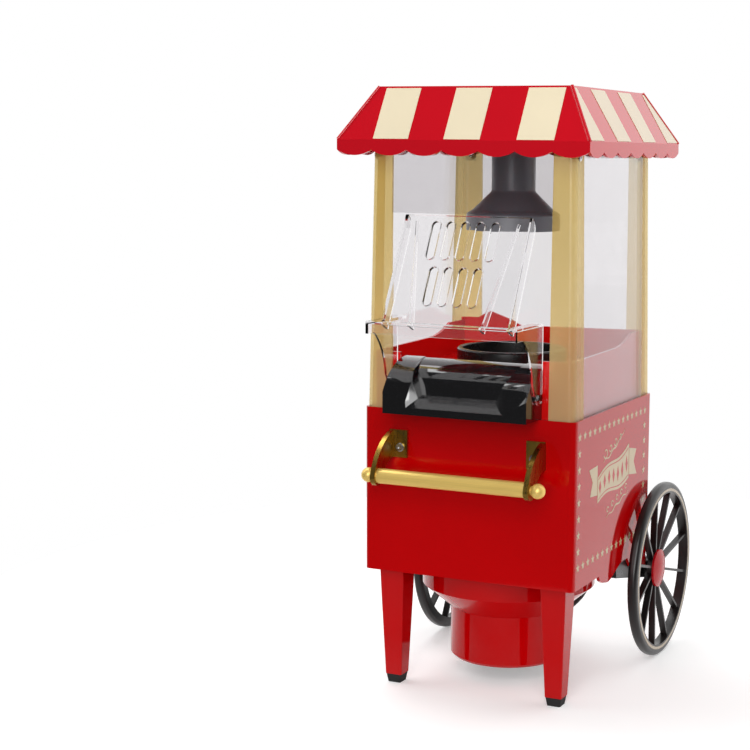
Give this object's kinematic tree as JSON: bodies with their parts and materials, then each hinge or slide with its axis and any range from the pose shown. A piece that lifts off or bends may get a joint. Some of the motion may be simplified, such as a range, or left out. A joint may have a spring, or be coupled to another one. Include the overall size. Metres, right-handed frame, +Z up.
{
  "type": "hot-air popcorn maker",
  "caption": "Retro cart-shaped hot-air popcorn maker: clear case with gold posts, striped roof, tilting chute door, brass push handle, front legs and spoked rear wheels.",
  "frame": {"origin": "on the surface it stands on, under the middle of the cart without its mains lead", "axes": "+Z up, -Y towards the front with the chute and handle, +X towards the right-hand wheel"},
  "size_m": [0.178, 0.262, 0.407],
  "materials": {
    "bare_aluminium": "satin",
    "black_plastic": "satin",
    "board_green": "satin",
    "brass": "satin",
    "cap_red": "gloss",
    "clear_plastic": "clear",
    "cord_black": "matte",
    "deck_red": "gloss",
    "door_clear": "clear",
    "duct_tin": "satin",
    "foot_rubber": "matte",
    "gold_plastic": "satin",
    "heater_wire": "satin",
    "kettle_grey": "satin",
    "mica": "matte",
    "red_gloss": "gloss",
    "rocker_black": "gloss",
    "roof_red": "gloss",
    "screw_steel": "satin",
    "tie_black": "matte",
    "tray_black": "gloss",
    "wheel_black": "satin"
  },
  "bodies": {
    "root": {"air_duct": "duct_tin", "axle": "screw_steel", "axle_bracket_left": "black_plastic", "axle_bracket_right": "black_plastic", "base_plate": "black_plastic", "base_screws": "screw_steel", "cabinet_shell": "red_gloss", "case_screws": "screw_steel", "case_top": "clear_plastic", "chamber_collar": "black_plastic", "chute_tray": "tray_black", "cord_coil": "cord_black", "cord_tie": "tie_black", "deck_tub": "deck_red", "deflector_hood": "kettle_grey", "fan_housing": "red_gloss", "fan_motor": "duct_tin", "foot_left": "foot_rubber", "foot_right": "foot_rubber", "front_leg_left": "red_gloss", "front_leg_right": "red_gloss", "handle_bar": "brass", "handle_bracket_left": "brass", "handle_bracket_right": "brass", "handle_knob_left": "brass", "handle_knob_right": "brass", "handle_screws": "screw_steel", "heater_boards": "mica", "heating_coil": "heater_wire", "intake_grille": "black_plastic", "motor_mount": "black_plastic", "panel_front": "clear_plastic", "panel_left": "clear_plastic", "panel_rear": "clear_plastic", "panel_right": "clear_plastic", "plug_body": "cord_black", "plug_pins": "screw_steel", "popping_chamber": "bare_aluminium", "post_front_left": "gold_plastic", "post_front_right": "gold_plastic", "post_rear_left": "gold_plastic", "post_rear_right": "gold_plastic", "power_board": "board_green", "power_cord": "cord_black", "strain_relief": "cord_black", "switch_housing": "black_plastic", "thermal_fuse": "screw_steel", "thermostat": "mica"},
    "wheel_left": {"wheel_left": "wheel_black", "hub_cap_left": "cap_red"},
    "wheel_right": {"wheel_right": "wheel_black", "hub_cap_right": "cap_red"},
    "fan": {"fan_impeller": "black_plastic", "motor_shaft": "screw_steel"},
    "door": {"chute_door": "door_clear"},
    "rocker": {"switch_rocker": "rocker_black"},
    "roof": {"roof_shell": "roof_red"}
  },
  "joints": [
    {"name": "left_wheel_spin", "type": "hinge", "parent": "root", "child": "wheel_left", "pos_m": [-0.0835, 0.06775, 0.0632], "axis": [1, 0, 0], "continuous": true},
    {"name": "right_wheel_spin", "type": "hinge", "parent": "root", "child": "wheel_right", "pos_m": [0.0835, 0.06775, 0.0632], "axis": [1, 0, 0], "continuous": true},
    {"name": "fan_spin", "type": "hinge", "parent": "root", "child": "fan", "pos_m": [0, -0.01695, 0.0675], "axis": [0, 0, 1], "continuous": true},
    {"name": "door_tilt", "type": "hinge", "parent": "root", "child": "door", "pos_m": [0, -0.09345, 0.208], "axis": [1, 0, 0], "range_deg": [0, 55]},
    {"name": "power_rocker", "type": "hinge", "parent": "root", "child": "rocker", "pos_m": [0.042, 0.05755, 0.15], "axis": [1, 0, 0], "range_deg": [0, 16]},
    {"name": "roof_lift", "type": "slide", "parent": "root", "child": "roof", "axis": [0, 0, 1], "range_m": [0, 0.09]}
  ]
}
